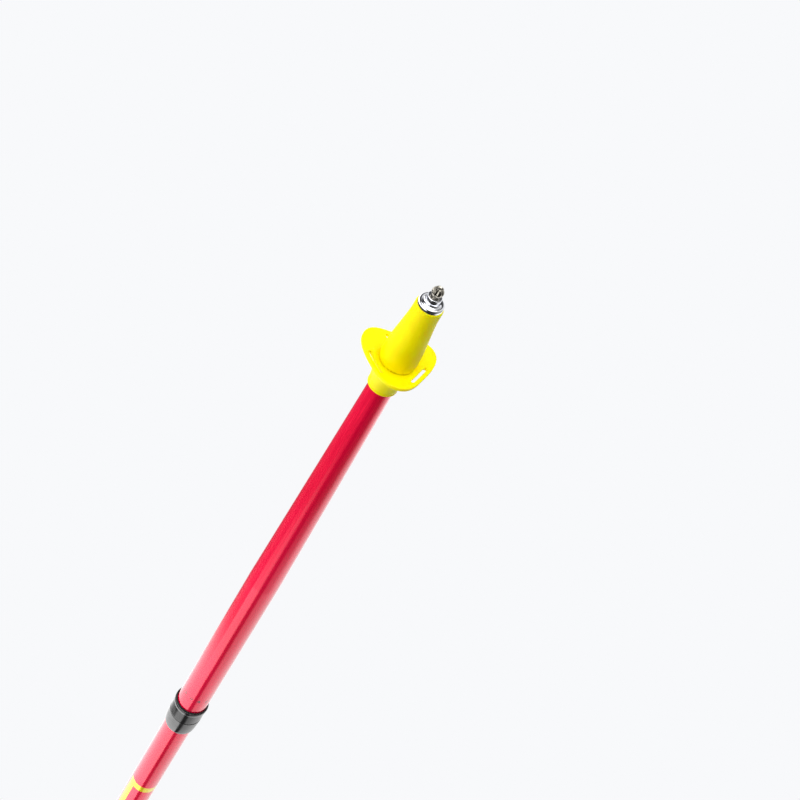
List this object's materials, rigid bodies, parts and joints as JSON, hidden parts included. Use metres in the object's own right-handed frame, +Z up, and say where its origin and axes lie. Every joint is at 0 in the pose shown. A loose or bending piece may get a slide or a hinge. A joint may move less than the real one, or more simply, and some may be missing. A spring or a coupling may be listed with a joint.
{
  "type": "telescopic ski pole",
  "caption": "Telescopic ski pole with a steel tip, lobed snow basket, tapered lower tube, twist lock, ridged grip and hanging wrist strap.",
  "frame": {"origin": "middle of the flat end of the steel stud, at the pole's lowest point", "axes": "+Z up the shaft from tip to grip, +Y towards the back of the grip where the wrist strap hangs, +X across the grip"},
  "size_m": [0.0356, 0.0798, 0.88],
  "materials": {
    "stud_steel": "machined, warm grey, slightly worn",
    "chrome": "polished",
    "yellow_plastic": "moulded, satin to gloss",
    "red_paint": "glossy crimson lacquer on aluminium tube",
    "black_plastic": "moulded, semi-gloss",
    "grey_plastic": "moulded, satin",
    "soft_black": "soft, fine grained",
    "strap_webbing": "woven nylon webbing"
  },
  "bodies": {
    "upper_section": {"upper_tube": "red_paint", "spindle_plug": "grey_plastic", "spindle": "stud_steel", "thrust_washer": "stud_steel", "stop_washer": "stud_steel", "stop_nut": "stud_steel", "grip_core": "black_plastic", "grip_sleeve": "soft_black", "grip_cap": "yellow_plastic", "strap_pin": "stud_steel"},
    "expander": {"expander_sleeve": "black_plastic"},
    "wedge_cone": {"expander_cone": "grey_plastic"},
    "lower_section": {"steel_stud": "stud_steel", "tip_ferrule": "chrome", "tip_cone": "yellow_plastic", "basket": "yellow_plastic", "lower_tube": "red_paint", "tube_collar": "black_plastic", "collar_seal": "soft_black"},
    "strap": {"strap_webbing": "strap_webbing"},
    "keeper": {"strap_keeper": "black_plastic"}
  },
  "joints": [
    {"name": "twist_lock", "type": "hinge", "parent": "upper_section", "child": "expander", "pos_m": [0, 0, 0.268], "axis": [0, 0, 1], "range_deg": [0, 360]},
    {"name": "length_adjust", "type": "slide", "parent": "expander", "child": "lower_section", "axis": [0, 0, -1], "range_m": [-0.036, 0.036]},
    {"name": "cone_travel", "type": "slide", "parent": "expander", "child": "wedge_cone", "axis": [0, 0, -1], "range_m": [0, 0.00175]},
    {"name": "strap_swing", "type": "hinge", "parent": "upper_section", "child": "strap", "pos_m": [0, 0.01, 0.857], "axis": [1, 0, 0], "range_deg": [0, 90]},
    {"name": "keeper_slide", "type": "slide", "parent": "strap", "child": "keeper", "axis": [0, 0, -1], "range_m": [0, 0.036]}
  ],
  "couplings": [
    {"joint": "cone_travel", "follows": "twist_lock", "m_per_rad": 0.00027852}
  ]
}
